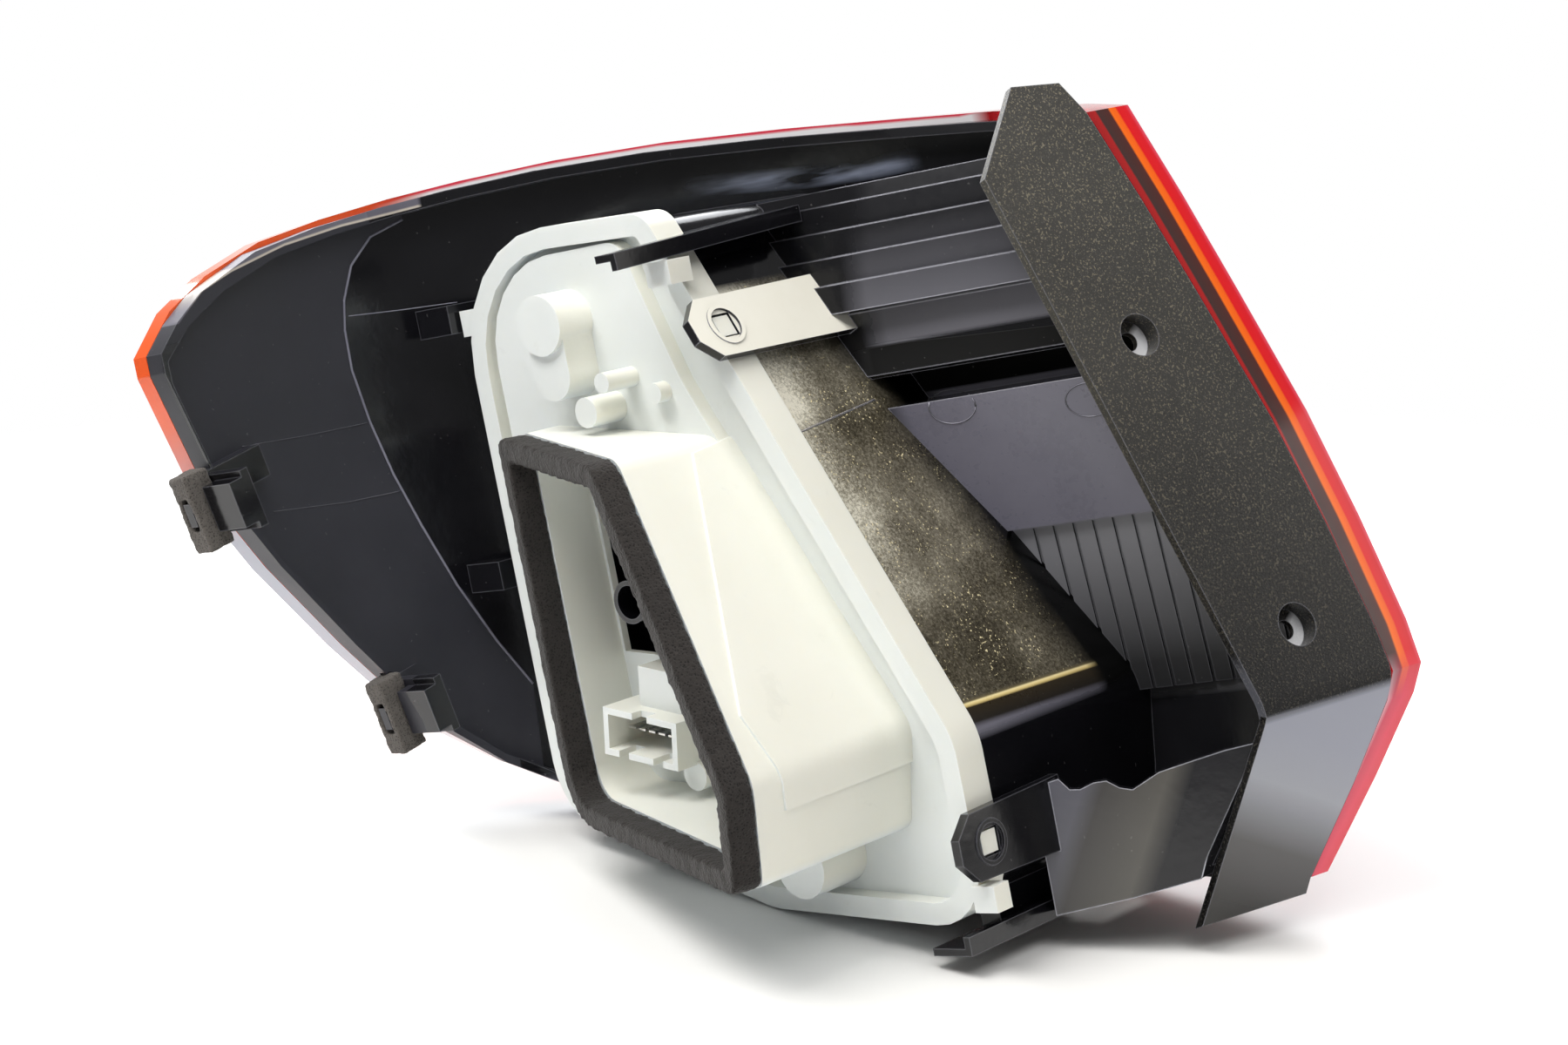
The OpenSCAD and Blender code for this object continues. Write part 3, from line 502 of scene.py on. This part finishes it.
def housing_black():
    t = Tree("housing_black")
    x, y, z = t.axes
    cloud = t.noise(38, 4, 0.6)
    fine = t.noise(420, 3)
    sheen_patches = t.noise(42, 5, 0.55)
    salt = t.noise(1100, 4, 0.85)
    side = t.faces(FLANK, 0.93, 0.975)
    depth = t.dot(t.coord, FLANK)
    back = t.faces(STEPS_OUT, 0.88, 0.95)

    # Wing: smooth dark grey outside its seam, glossy near black beyond it
    wing = t.gate(t.minus(x, t.trace(spots(SEAM), "z", "x")), 0.3, -0.3)
    base = t.mix(wing, t.tones(cloud, "chamber"), t.tones(cloud, "wing"))
    # Rim of the wing under the lens, lighter grey, with a painted highlight along its foot
    under = spots(RIM_UNDER)
    over = t.minus(z, t.trace(under, "y", "z"))
    rim = t.both(t.gate(over, -0.15, 0.15), t.step(y, under[-1].y + mm(1), under[-1].y), t.zone("rim"))
    base = t.mix(rim, base, t.tones(cloud, "rim"))
    base = t.tint(base, t.both(rim, t.gate(over, 0.9, 0.4), t.zone("rim_glint")), "rim_glint", 0.8)
    # Soft light along the top of the chamber
    off = t.math("ABSOLUTE", t.minus(z, t.trace(spots(STREAK), "x", "z")))
    patches = t.step(t.noise(30, 3, vector=t.stretch((1.0, 1.0, 6.0))), 0.36, 0.62)
    base = t.tint(base, t.both(patches, t.gate(off, 3.6, 0.4), t.zone("glow")), "glow", 0.9)
    # Steps of the pocket, lighter towards the lowest, with the slot under them painted black as shadow and a
    # painted highlight on its lip
    steps = t.both(back, t.zone("steps"))
    base = t.mix(steps, base, t.tones(t.zone("low_steps"), "steps"))
    roof = t.minus(z, t.trace(spots(SLOT_TOP), "x", "z"))
    slot = t.both(back, t.zone("slot"), t.gate(roof, 0.2, -0.2))
    base = t.tint(base, slot, "slot")
    base = t.tint(base, t.both(steps, t.gate(roof, 0.2, 0.4), t.gate(roof, 1.0, 0.8)), "lip", 0.7)
    # Pocket plate: lighter grey-violet satin, with painted shade darkening its grooves and going black towards
    # its foot
    plate = t.both(t.faces(PLATE_OUT, 0.90, 0.96), t.zone("plate"))
    base = t.mix(plate, base, t.tint(t.tones(cloud, "plate"), t.zone("grooves"), "grooves"))
    base = t.tint(base, t.both(plate, t.zone("pit_shade")), "pit_shade", 0.92)
    # Tray: satin grey-violet on the left, brown-grey towards its shadow on the right
    tray = t.both(t.faces(TRAY_OUT, 0.9, 0.97), t.zone("tray"))
    lean = t.minus(x, t.times(t.minus(z, TRAY_AT), TRAY_LEAN))
    base = t.mix(tray, base, t.ramp(t.gate(lean, -30, 20), "tray"))
    # Chamber flank: dark bronze dust with fine specks under a painted silvery sheen, brightest in the near,
    # middle and crown zones, and painted shadow going black past the shadow's edge
    flank = t.both(side, t.gate(depth, -69, -71), t.zone("flank"))
    tone = t.total((t.step(sheen_patches, 0.34, 0.70), 0.30), (t.step(salt, 0.36, 0.64), 0.40),
                   (t.zone("near"), 0.44), (t.zone("middle"), 0.12), (t.zone("crown"), 0.20))
    gold = t.both(t.specks(1250, 1, 0.68), t.step(t.noise(110, 3), 0.44, 0.58))
    dust_sheen_and_shadow = t.tint(t.ramp(tone, "dust_sheen_and_shadow"), gold, "gold", 0.9)
    past = t.minus(y, t.trace([on_flank(*q) for q in SHADOW], "z", "y"))
    dust_sheen_and_shadow = t.tint(dust_sheen_and_shadow, t.gate(past, -14, 0.4), "dusk", 0.97)
    dust_sheen_and_shadow = t.tint(dust_sheen_and_shadow, t.gate(past, -0.6, 0.6), "shadow")
    # Fold at its foot: a painted gold highlight along the fold, a darker face, and a painted grey reflection
    # in a strip under it
    drop = t.minus(t.trace([on_flank(*q) for q in FOLD], "y", "z"), z)
    foot = t.tint(t.ramp(t.gate(drop, -1.5, 14), "foot"), t.gate(past, -4, 1), "foot_shadow")
    base = t.mix(flank, base, t.mix(t.gate(drop, -1.5, -0.6), dust_sheen_and_shadow, foot))
    # Upper clip arm faces the same light as the flank and is painted nearly white as a highlight, with brown
    # patches at its root
    arm_highlight = t.both(side, t.gate(depth, -69, -68), t.zone("arm_highlight"))
    brown_patches = t.both(t.zone("arm_root"), t.step(t.noise(90, 4), 0.38, 0.6))
    base = t.mix(arm_highlight, base, t.tint(t.tones(cloud, "arm_highlight"), brown_patches, "arm_root"))
    # Painted highlights along edges, lightest round the pocket and on the tray
    lines = t.both(t.edge(mm(0.6)), t.outside(t.both(wing, t.step(t.slope("Z"), 0.5, 0.3))),
                   t.outside(t.most(flank, arm_highlight)))
    bright = t.most(t.zone("bright_edges"), tray)
    base = t.mix(t.both(lines, t.step(bright, 0.0, 1.0, 0.5, 0.95)), base, t.tones(bright, "edges"))
    base = t.tint(base, t.specks(700, 2, 0.745), "lint", 0.15)

    rough = t.blend(wing, t.spread(cloud, 0.10, 0.20), t.spread(cloud, 0.36, 0.48))
    rough = t.blend(t.most(plate, steps), rough, t.spread(fine, 0.36, 0.46))
    rough = t.blend(flank, rough, t.step(sheen_patches, 0.35, 0.7, 0.20, 0.36))
    rough = t.blend(slot, rough, 0.95)
    relief = t.bump(fine, 0.03, 0.5, on=t.bump(t.noise(95, 3), 0.18, 0.30))
    t.set(Base_Color=base, Roughness=rough, Normal=relief)
    t.shader.inputs["Specular IOR Level"].default_value = 0.5
    return t.mat


# Lighter grey for the moulding seam beads: a painted highlight along their ridges
def seam_highlight():
    t = Tree("seam_highlight")
    cloud = t.noise(60, 3)
    t.set(Base_Color=t.tones(cloud, "seam"), Roughness=t.spread(cloud, 0.25, 0.40),
          Normal=t.bump(t.noise(500, 3), 0.03, 0.4))
    return t.mat


def panel_black():
    t = Tree("panel_black")
    grain = t.noise(1500, 4, 0.62)
    cloud = t.noise(22, 3)
    z = t.axes["Z"]
    high = t.gate(t.math("ADD", z, t.times(cloud, mm(30))), -95, 75)
    base = t.mix(high, t.tones(cloud, "panel_low"), t.tones(cloud, "panel_high"))
    base = t.tint(base, t.both(t.specks(1500, 2, 0.61), t.step(high, 0.0, 1.0, 0.10, 0.60)), "fleck")
    base = t.tint(base, t.both(t.specks(2600, 1, 0.66), t.step(high, 0.0, 1.0, 0.10, 0.40)), "small_fleck")
    # Light caught on the seat of both screw recesses
    for spot in SCREWS:
        away = t.vector("SUBTRACT", t.coord, on_panel(*spot))[0]
        reach = t.vector("LENGTH", away)["Value"]
        glint = t.both(t.gate(reach, 9.5, 9.0), t.gate(t.dot(away, PANEL_OUT), -0.4, -0.8),
                       t.faces(PANEL_OUT, 0.7, 0.9), t.gate(t.dot(away, GLINT_WAY), -1.6, 0.4))
        base = t.tint(base, glint, "screw_glint", 0.95)
    # Turned leg: smooth, with a painted reflection that is light below the fold and darkens downwards
    leg = t.both(t.step(t.slope("Z"), -0.1, -0.3), t.zone("leg"))
    fall = t.gate(t.math("ADD", z, t.times(t.axes["Y"], 0.5)), -172, -116)
    base = t.mix(leg, base, t.ramp(fall, "leg"))
    # Painted highlights on the panel's edges
    base = t.tint(base, t.edge(mm(0.5)), "panel_edge", 0.7)

    rough = t.blend(high, t.spread(grain, 0.20, 0.30), t.spread(grain, 0.34, 0.46))
    rough = t.blend(leg, rough, t.spread(cloud, 0.22, 0.30))
    coarse = t.outside(t.times(leg, 0.85))
    relief = t.bump(t.times(grain, coarse), 0.10, 0.5)
    relief = t.bump(t.times(t.cells(1300), coarse), 0.05, 0.4, on=relief)
    t.set(Base_Color=base, Roughness=rough, Normal=relief)
    t.shader.inputs["Specular IOR Level"].default_value = 0.5
    return t.mat


def lens_red():
    t = Tree("lens_red")
    z = t.axes["Z"]
    # Bands of colour beside the panel, by their distance in from the outer corner
    up = t.times(t.dot(t.coord, PANEL_UP), IN_MM)
    across = t.times(t.dot(t.coord, ACROSS), IN_MM)
    lo, hi = CORNER[0][0], CORNER[-1][0]
    corner = t.curve(t.step(up, lo, hi), [((a - lo) / (hi - lo), b / MOST_REACH) for a, b in CORNER])
    inset = t.minus(t.times(corner, MOST_REACH), across)
    bands = t.ramp(t.step(inset, 0.0, CORNER_BANDS), "corner")
    foot = t.ramp(t.step(inset, 0.0, FOOT_BANDS), "corner_foot")
    bands = t.mix(t.step(up, *FOOT_FADE), bands, foot)
    side = t.both(t.faces(PANEL_OUT, 0.45, 0.7), t.zone("corner"))
    # The wing tip glows orange, and its lower edge is clear and looks grey
    tip = t.zone("tip")
    edge = t.both(t.step(t.slope("Z"), -0.25, -0.5), t.zone("clear_edge"))
    colour = t.tint(t.tones(t.noise(30, 2), "lens"), tip, "tip")
    colour = t.mix(side, t.tint(colour, edge, "clear_edge"), bands)
    # Back of its rim along the top: a painted white highlight under a thin red line
    top = [p for p in map(top_edge, LENS_COLUMNS) if p]
    sunk = t.minus(t.trace(top, "x", "z"), z)
    rim = t.both(t.faces(BACKWARD, 0.25, 0.4), t.zone("top_rim_highlight"))
    colour = t.mix(rim, colour, t.tones(t.gate(sunk, 0.35, 1.1), "top_rim_highlight"))
    t.set(Base_Color=colour, Roughness=t.spread(t.noise(140, 3), 0.05, 0.11),
          Normal=t.bump(t.noise(60, 2), 0.2, 0.15))
    dense = t.most(t.most(rim, t.times(tip, 0.7)), t.most(side, edge))
    t.feed(t.shader.inputs["Transmission Weight"], t.minus(0.62, t.times(dense, 0.55)))
    t.shader.inputs["IOR"].default_value = 1.49
    t.shader.inputs["Coat Weight"].default_value = 0.3
    t.shader.inputs["Coat Roughness"].default_value = 0.04
    return t.mat


def lens_clear():
    t = Tree("lens_clear")
    rib = t.add("ShaderNodeTexWave", bands_direction="X")
    t.feed(rib.inputs["Vector"], t.coord)
    rib.inputs["Scale"].default_value = 60
    t.set(Base_Color=t.tones(t.noise(40), "window"), Roughness=t.spread(t.noise(120), 0.03, 0.09),
          Normal=t.bump(rib.outputs["Fac"], 0.4, 0.3))
    t.shader.inputs["Transmission Weight"].default_value = 0.85
    t.shader.inputs["IOR"].default_value = 1.49
    return t.mat


def mirror_coat():
    t = Tree("mirror_coat")
    front = t.step(t.slope("Y"), -0.1, 0.1)
    cloud = t.noise(45, 4)
    t.set(Base_Color=t.mix(front, PAINT["mirror_back"], t.tones(cloud, "mirror")),
          Metallic=t.step(front, 0.4, 0.6), Roughness=t.blend(front, 0.5, t.spread(cloud, 0.05, 0.14)),
          Normal=t.bump(t.noise(90, 3), 0.2, 0.2))
    return t.mat


def bezel_grey():
    t = Tree("bezel_grey")
    cloud = t.noise(30, 4)
    t.set(Base_Color=t.tones(cloud, "bezel"), Roughness=t.spread(cloud, 0.24, 0.38),
          Normal=t.bump(t.noise(900, 3), 0.06, 0.5))
    return t.mat


def carrier_white():
    t = Tree("carrier_white")
    cloud = t.noise(26, 4, 0.6)
    # Cream on faces towards the warm light and cool grey-blue on the rest: painted light and shade on one
    # white plastic
    warm_lit = t.faces(CARRIER_SIDE, -0.2, 0.7)
    base = t.mix(warm_lit, t.tones(cloud, "carrier_cool_light"), t.tones(cloud, "carrier_warm_light"))
    base = t.tint(base, t.step(t.noise(60, 6, 0.7, distortion=1.2), 0.62, 0.78), "mark", 0.25)
    # Painted highlights on its edges
    base = t.tint(base, t.edge(mm(0.8)), "carrier_edge_highlight", 0.15)
    t.set(Base_Color=base, Roughness=t.spread(cloud, 0.28, 0.42),
          Normal=t.bump(t.noise(520, 3), 0.05, 0.45, on=t.bump(t.noise(70, 3), 0.3, 0.25)))
    t.shader.inputs["Subsurface Weight"].default_value = 0.22
    t.shader.inputs["Subsurface Radius"].default_value = (1.0, 0.9, 0.75)
    t.shader.inputs["Subsurface Scale"].default_value = mm(2.2)
    return t.mat


def foam(name, tones, scale):
    t = Tree(name)
    cell = t.cells(scale)
    pores = t.noise(scale * 0.8, 5, 0.7)
    dark, light = TONES[tones]
    base = t.mix(t.step(cell, 0.42, 0.15), t.tones(t.noise(55, 3), tones), tuple(c * 0.35 for c in dark))
    base = t.mix(t.times(t.step(pores, 0.60, 0.75), 0.6), base, tuple(c * 1.9 for c in light))
    t.set(Base_Color=base, Roughness=t.spread(pores, 0.85, 0.98),
          Normal=t.bump(pores, 0.35, 0.7, on=t.bump(cell, 0.3, 0.7)))
    t.shader.inputs["Sheen Weight"].default_value = 0.15
    t.shader.inputs["Specular IOR Level"].default_value = 0.2
    return t.mat


def seal_rubber():
    t = Tree("seal_rubber")
    cloud = t.noise(60, 3)
    t.set(Base_Color=t.tones(cloud, "rubber"), Roughness=t.spread(cloud, 0.55, 0.72),
          Normal=t.bump(t.noise(800, 3), 0.06, 0.5))
    return t.mat


def bulb_glass():
    t = Tree("bulb_glass")
    cloud = t.noise(35, 2)
    t.set(Base_Color=t.tones(cloud, "glass"), Roughness=t.spread(cloud, 0.01, 0.04),
          Normal=t.bump(t.noise(50, 2), 0.3, 0.12))
    t.shader.inputs["Transmission Weight"].default_value = 0.95
    t.shader.inputs["IOR"].default_value = 1.46
    return t.mat


def metal(name, tones, low, high):
    t = Tree(name)
    cloud = t.step(t.noise(90, 5, 0.65), 0.35, 0.7)
    lines = t.noise(220, 2, 0.5, vector=t.stretch((1.0, 9.0, 1.0)))
    t.set(Base_Color=t.tones(cloud, tones), Metallic=1.0, Roughness=t.spread(lines, low, high),
          Normal=t.bump(lines, 0.05, 0.4))
    return t.mat


MATS = {
    "housing_black": housing_black(),
    "panel_black": panel_black(),
    "lens_red": lens_red(),
    "lens_clear": lens_clear(),
    "mirror_coat": mirror_coat(),
    "bezel_grey": bezel_grey(),
    "carrier_white": carrier_white(),
    "seal_rubber": seal_rubber(),
    "gasket_foam": foam("gasket_foam", "gasket", 1300),
    "pad_foam": foam("pad_foam", "pad", 1500),
    "bulb_glass": bulb_glass(),
    "bulb_cap": metal("bulb_cap", "cap", 0.24, 0.42),
    "contact_brass": metal("contact_brass", "brass", 0.20, 0.36),
}


def dress(obj, slot):
    obj.data.materials.clear()
    obj.data.materials.append(MATS[slot])


def smooth_faces(mesh):
    mesh.polygons.foreach_set("use_smooth", [True] * len(mesh.polygons))


def shade(obj, angle):
    """Smooth shading with sharp edges kept, without touching a vertex."""
    smooth_faces(obj.data)
    join = obj.modifiers.new("join", "WELD")
    join.merge_threshold = WELD
    split = obj.modifiers.new("split", "EDGE_SPLIT")
    split.split_angle = angle


def show(name, data):
    obj = bpy.data.objects.new(name, data)
    bpy.context.scene.collection.objects.link(obj)
    return obj


for name, obj in nodes.items():
    dress(obj, slots[name])


# Foam pieces, made from the CAD outline as soft forms
def soft_copy(node, name, voxel):
    obj = show(name, nodes[node].data.copy())
    for o in bpy.context.selected_objects:
        o.select_set(False)
    bpy.context.view_layer.objects.active = obj
    obj.select_set(True)
    m = obj.modifiers.new("voxels", "REMESH")
    m.mode = "VOXEL"
    m.voxel_size = voxel
    m = obj.modifiers.new("soften", "SMOOTH")
    m.factor = SMOOTH_FACTOR
    m.iterations = SMOOTHINGS
    for m in list(obj.modifiers):
        bpy.ops.object.modifier_apply(modifier=m.name)
    low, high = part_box(node)[0] + INSIDE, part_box(node)[1] - INSIDE
    mesh = obj.data
    mesh.update()
    normals = [v.normal.copy() for v in mesh.vertices]
    for v, n in zip(mesh.vertices, normals):
        p = v.co * IN_MM
        lump = sum(share * field.noise(p * waves) for share, waves in LUMPS)
        q = v.co + n * (lump - LUMP_LEVEL) * WOBBLE
        v.co = Vector(max(low[i], min(high[i], q[i])) for i in range(3))
    smooth_faces(mesh)
    dress(obj, slots[node])
    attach(obj, "root")
    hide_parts(node)
    return obj


soft_copy("body_gasket", "gasket_frame", mm(0.9))
soft_copy("upper_foam_pad", "pad_upper", mm(0.6))
soft_copy("lower_foam_pad", "pad_lower", mm(0.6))


# Moulding details, laid on the CAD surface where the photograph shows them
def fill_in(points):
    """A line of pixels with more points along it."""
    out = []
    for a, b in zip(points, points[1:]):
        n = max(1, int(math.dist(a, b) / BEAD_STEP))
        out += [(a[0] + (b[0] - a[0]) * i / n, a[1] + (b[1] - a[1]) * i / n) for i in range(n)]
    return out + [points[-1]]


def runs_of(pixels):
    """Hits on the housing under a line of pixels, parted where the surface jumps."""
    runs = [[]]
    for hit in [land(*p) for p in fill_in(pixels)]:
        if hit is None or (runs[-1] and (hit[0] - runs[-1][-1][0]).length > JUMP):
            runs.append([])
        if hit is not None:
            runs[-1].append(hit)
    return [run for run in runs if len(run) > 2]


def bead(name, pixels, width, height, finish="housing_black"):
    """A thin raised moulding line on the housing; width and height are in millimetres."""
    bm = bmesh.new()
    count = len(SECTION)
    for run in runs_of(pixels):
        rings = []
        for i, (p, n) in enumerate(run):
            a, b = run[max(0, i - 1)][0], run[min(len(run) - 1, i + 1)][0]
            side = (b - a).normalized().cross(n).normalized()
            rings.append([bm.verts.new(p + side * (u * mm(width)) + n * (v * mm(height))) for u, v in SECTION])
        for r0, r1 in zip(rings, rings[1:]):
            for k in range(count):
                bm.faces.new((r0[k], r0[(k + 1) % count], r1[(k + 1) % count], r1[k]))
        bm.faces.new(rings[0])
        bm.faces.new(reversed(rings[-1]))
    bmesh.ops.recalc_face_normals(bm, faces=bm.faces)
    mesh = bpy.data.meshes.new(name)
    bm.to_mesh(mesh)
    bm.free()
    smooth_faces(mesh)
    obj = show(name, mesh)
    dress(obj, "housing_black")
    obj.data.materials[0] = MATS[finish]
    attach(obj, "root")


MATS["seam_highlight"] = seam_highlight()
bead("wing_seam", SEAM, 0.8, 0.45, "seam_highlight")
bead("wing_line_upper", WING_UPPER, 0.5, 0.1)
bead("wing_line_lower", WING_LOWER, 0.5, 0.1)
bead("wing_line_top", WING_TOP, 0.3, 0.05, "seam_highlight")
bead("flank_seam", FLANK_SEAM, 0.6, 0.3)
for i, (cx, cy) in enumerate(EJECTORS):
    turns = [a * math.tau / EJECTOR_TURNS for a in range(EJECTOR_TURNS + 1)]
    loop = [(cx + EJECTOR_WIDE * math.cos(a), cy + EJECTOR_HIGH * math.sin(a)) for a in turns]
    bead("ejector_mark_%d" % (i + 1), loop, 0.5, 0.2)

for name, obj in nodes.items():
    shade(obj, LOFT_SHARP if name in LOFTED else SHARP)


# Floor, lights and camera
def stage_floor():
    normal = (UP * math.cos(FLOOR_TILT) - AHEAD * math.sin(FLOOR_TILT)).normalized()
    low = min(normal.dot(v.co) for o in nodes.values() for v in o.data.vertices) - FLOOR_GAP
    centre = FLOOR_MIDDLE + normal * (low - normal.dot(FLOOR_MIDDLE))
    side = normal.orthogonal().normalized()
    other = normal.cross(side)
    bm = bmesh.new()
    turns = [i * math.tau / FLOOR_SIDES for i in range(FLOOR_SIDES)]
    bm.faces.new([bm.verts.new(centre + (side * math.cos(a) + other * math.sin(a)) * FLOOR_RADIUS)
                  for a in turns])
    mesh = bpy.data.meshes.new("floor")
    bm.to_mesh(mesh)
    bm.free()
    t = Tree("floor_paper")
    away = t.vector("DISTANCE", t.coord, centre)["Value"]
    t.set(Base_Color=t.tones(t.noise(6, 3), "floor"), Roughness=0.62,
          Normal=t.bump(t.noise(300, 3), 0.1, 0.2), Alpha=t.step(away, *FLOOR_FADE))
    mesh.materials.append(t.mat)
    obj = show("floor", mesh)


def area(name, place, size, power, colour):
    data = bpy.data.lights.new(name, "AREA")
    data.shape = "RECTANGLE"
    data.size, data.size_y = size
    data.energy = power
    data.color = colour
    way = RIGHT * place[0] + UP * place[1] + AHEAD * place[2]
    obj = show(name, data)
    obj.location = PART_MIDDLE + way
    obj.rotation_euler = (-way).to_track_quat("-Z", "Y").to_euler()


def studio_world():
    """White for the camera and ahead of it, dimmer to the sides."""
    world = bpy.data.worlds.new("studio")
    world.use_nodes = True
    add, link = world.node_tree.nodes.new, world.node_tree.links.new
    ahead = add("ShaderNodeVectorMath")
    ahead.operation = "DOT_PRODUCT"
    ahead.inputs[1].default_value = AHEAD
    fade = add("ShaderNodeMapRange")
    for i, v in enumerate(WORLD_FADE):
        fade.inputs[i + 1].default_value = v
    seen = add("ShaderNodeMath")
    seen.operation = "MAXIMUM"
    sky = world.node_tree.nodes["Background"].inputs
    sky["Color"].default_value = (1.0, 1.0, 1.0, 1.0)
    link(add("ShaderNodeTexCoord").outputs["Generated"], ahead.inputs[0])
    link(ahead.outputs["Value"], fade.inputs[0])
    link(fade.outputs[0], seen.inputs[0])
    link(add("ShaderNodeLightPath").outputs["Is Camera Ray"], seen.inputs[1])
    link(seen.outputs[0], sky["Strength"])
    bpy.context.scene.world = world


stage_floor()
for name, light in LIGHTS.items():
    area(name, *light)
studio_world()

cam = bpy.data.cameras.new("camera")
cam.sensor_width, cam.lens = SENSOR_MM, SENSOR_MM * FOCAL_PX / PHOTO[0]
cam.clip_start, cam.clip_end = 0.01, 20
camera = show("camera", cam)
turn = Matrix((RIGHT, UP, -AHEAD)).transposed().to_4x4()
camera.matrix_world = Matrix.Translation(EYE) @ turn
bpy.context.scene.camera = camera
bpy.context.scene.view_settings.view_transform = "Standard"
